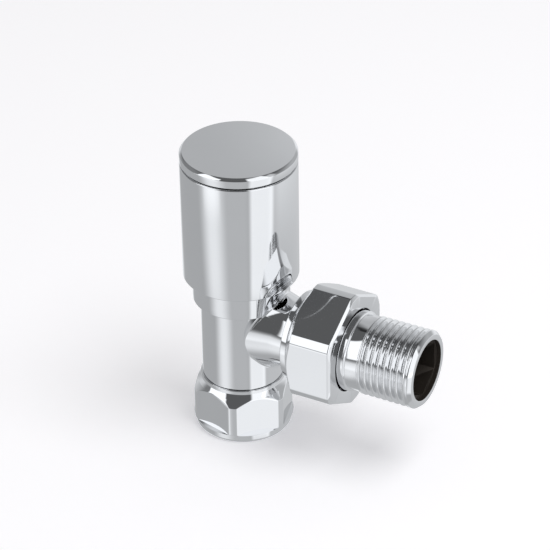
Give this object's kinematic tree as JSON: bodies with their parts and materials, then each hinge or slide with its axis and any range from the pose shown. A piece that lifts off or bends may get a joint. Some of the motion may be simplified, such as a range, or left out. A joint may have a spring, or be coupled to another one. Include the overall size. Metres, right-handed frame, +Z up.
{
  "type": "radiator valve",
  "caption": "Angled manual radiator valve with a turning cylindrical head, a compression nut for the pipe below and a union nut and threaded tail to the side.",
  "frame": {"origin": "centre of the compression nut's lower face, on the barrel and spindle axis", "axes": "+Z up the spindle to the head, +X out along the side arm and union tail, +Y across"},
  "size_m": [0.0697, 0.0306, 0.0832],
  "materials": {
    "plated_body": "polished chrome plate on brass",
    "turned_brass": "turned, unpolished",
    "bright_steel": "zinc plated",
    "black_rubber": "moulded",
    "red_fibre": "compressed fibre",
    "white_ptfe": "turned PTFE",
    "grey_nylon": "moulded nylon"
  },
  "bodies": {
    "body": {"valve_body": "plated_body", "bonnet": "turned_brass", "bonnet_washer": "red_fibre", "gland_nut": "turned_brass", "gland_packing": "white_ptfe", "gland_follower": "turned_brass"},
    "plug": {"valve_jumper": "turned_brass", "seat_washer": "black_rubber", "washer_screw": "bright_steel"},
    "head": {"spindle": "turned_brass", "knob_sleeve": "plated_body", "knob_hub": "grey_nylon", "hub_snap_ring": "bright_steel", "knob_screw_washer": "bright_steel", "knob_screw": "bright_steel", "knob_top_disc": "plated_body", "disc_grip_ring": "black_rubber"},
    "tail": {"union_tailpiece": "plated_body", "tail_o_ring": "black_rubber"},
    "union": {"union_nut": "plated_body"},
    "olive": {"compression_olive": "turned_brass"},
    "inlet_nut": {"compression_nut": "plated_body"}
  },
  "joints": [
    {"name": "plug_lift", "type": "slide", "parent": "body", "child": "plug", "axis": [0, 0, 1], "range_m": [0, 0.00376]},
    {"name": "head_turn", "type": "hinge", "parent": "plug", "child": "head", "pos_m": [0, 0, 0.06], "axis": [0, 0, 1], "range_deg": [0, 900]},
    {"name": "tail_slide", "type": "slide", "parent": "body", "child": "tail", "axis": [1, 0, 0], "range_m": [0, 0.00364]},
    {"name": "union_turn", "type": "hinge", "parent": "tail", "child": "union", "pos_m": [0.027, 0, 0.0317], "axis": [1, 0, 0], "range_deg": [0, 720]},
    {"name": "olive_slide", "type": "slide", "parent": "body", "child": "olive", "axis": [0, 0, -1], "range_m": [0, 0.00301]},
    {"name": "inlet_nut_turn", "type": "hinge", "parent": "olive", "child": "inlet_nut", "pos_m": [0, 0, 0.007], "axis": [0, 0, -1], "range_deg": [0, 720]}
  ],
  "couplings": [
    {"joint": "plug_lift", "follows": "head_turn", "m_per_rad": 0.00023873},
    {"joint": "tail_slide", "follows": "union_turn", "m_per_rad": 0.00028871},
    {"joint": "olive_slide", "follows": "inlet_nut_turn", "m_per_rad": 0.00023873}
  ]
}
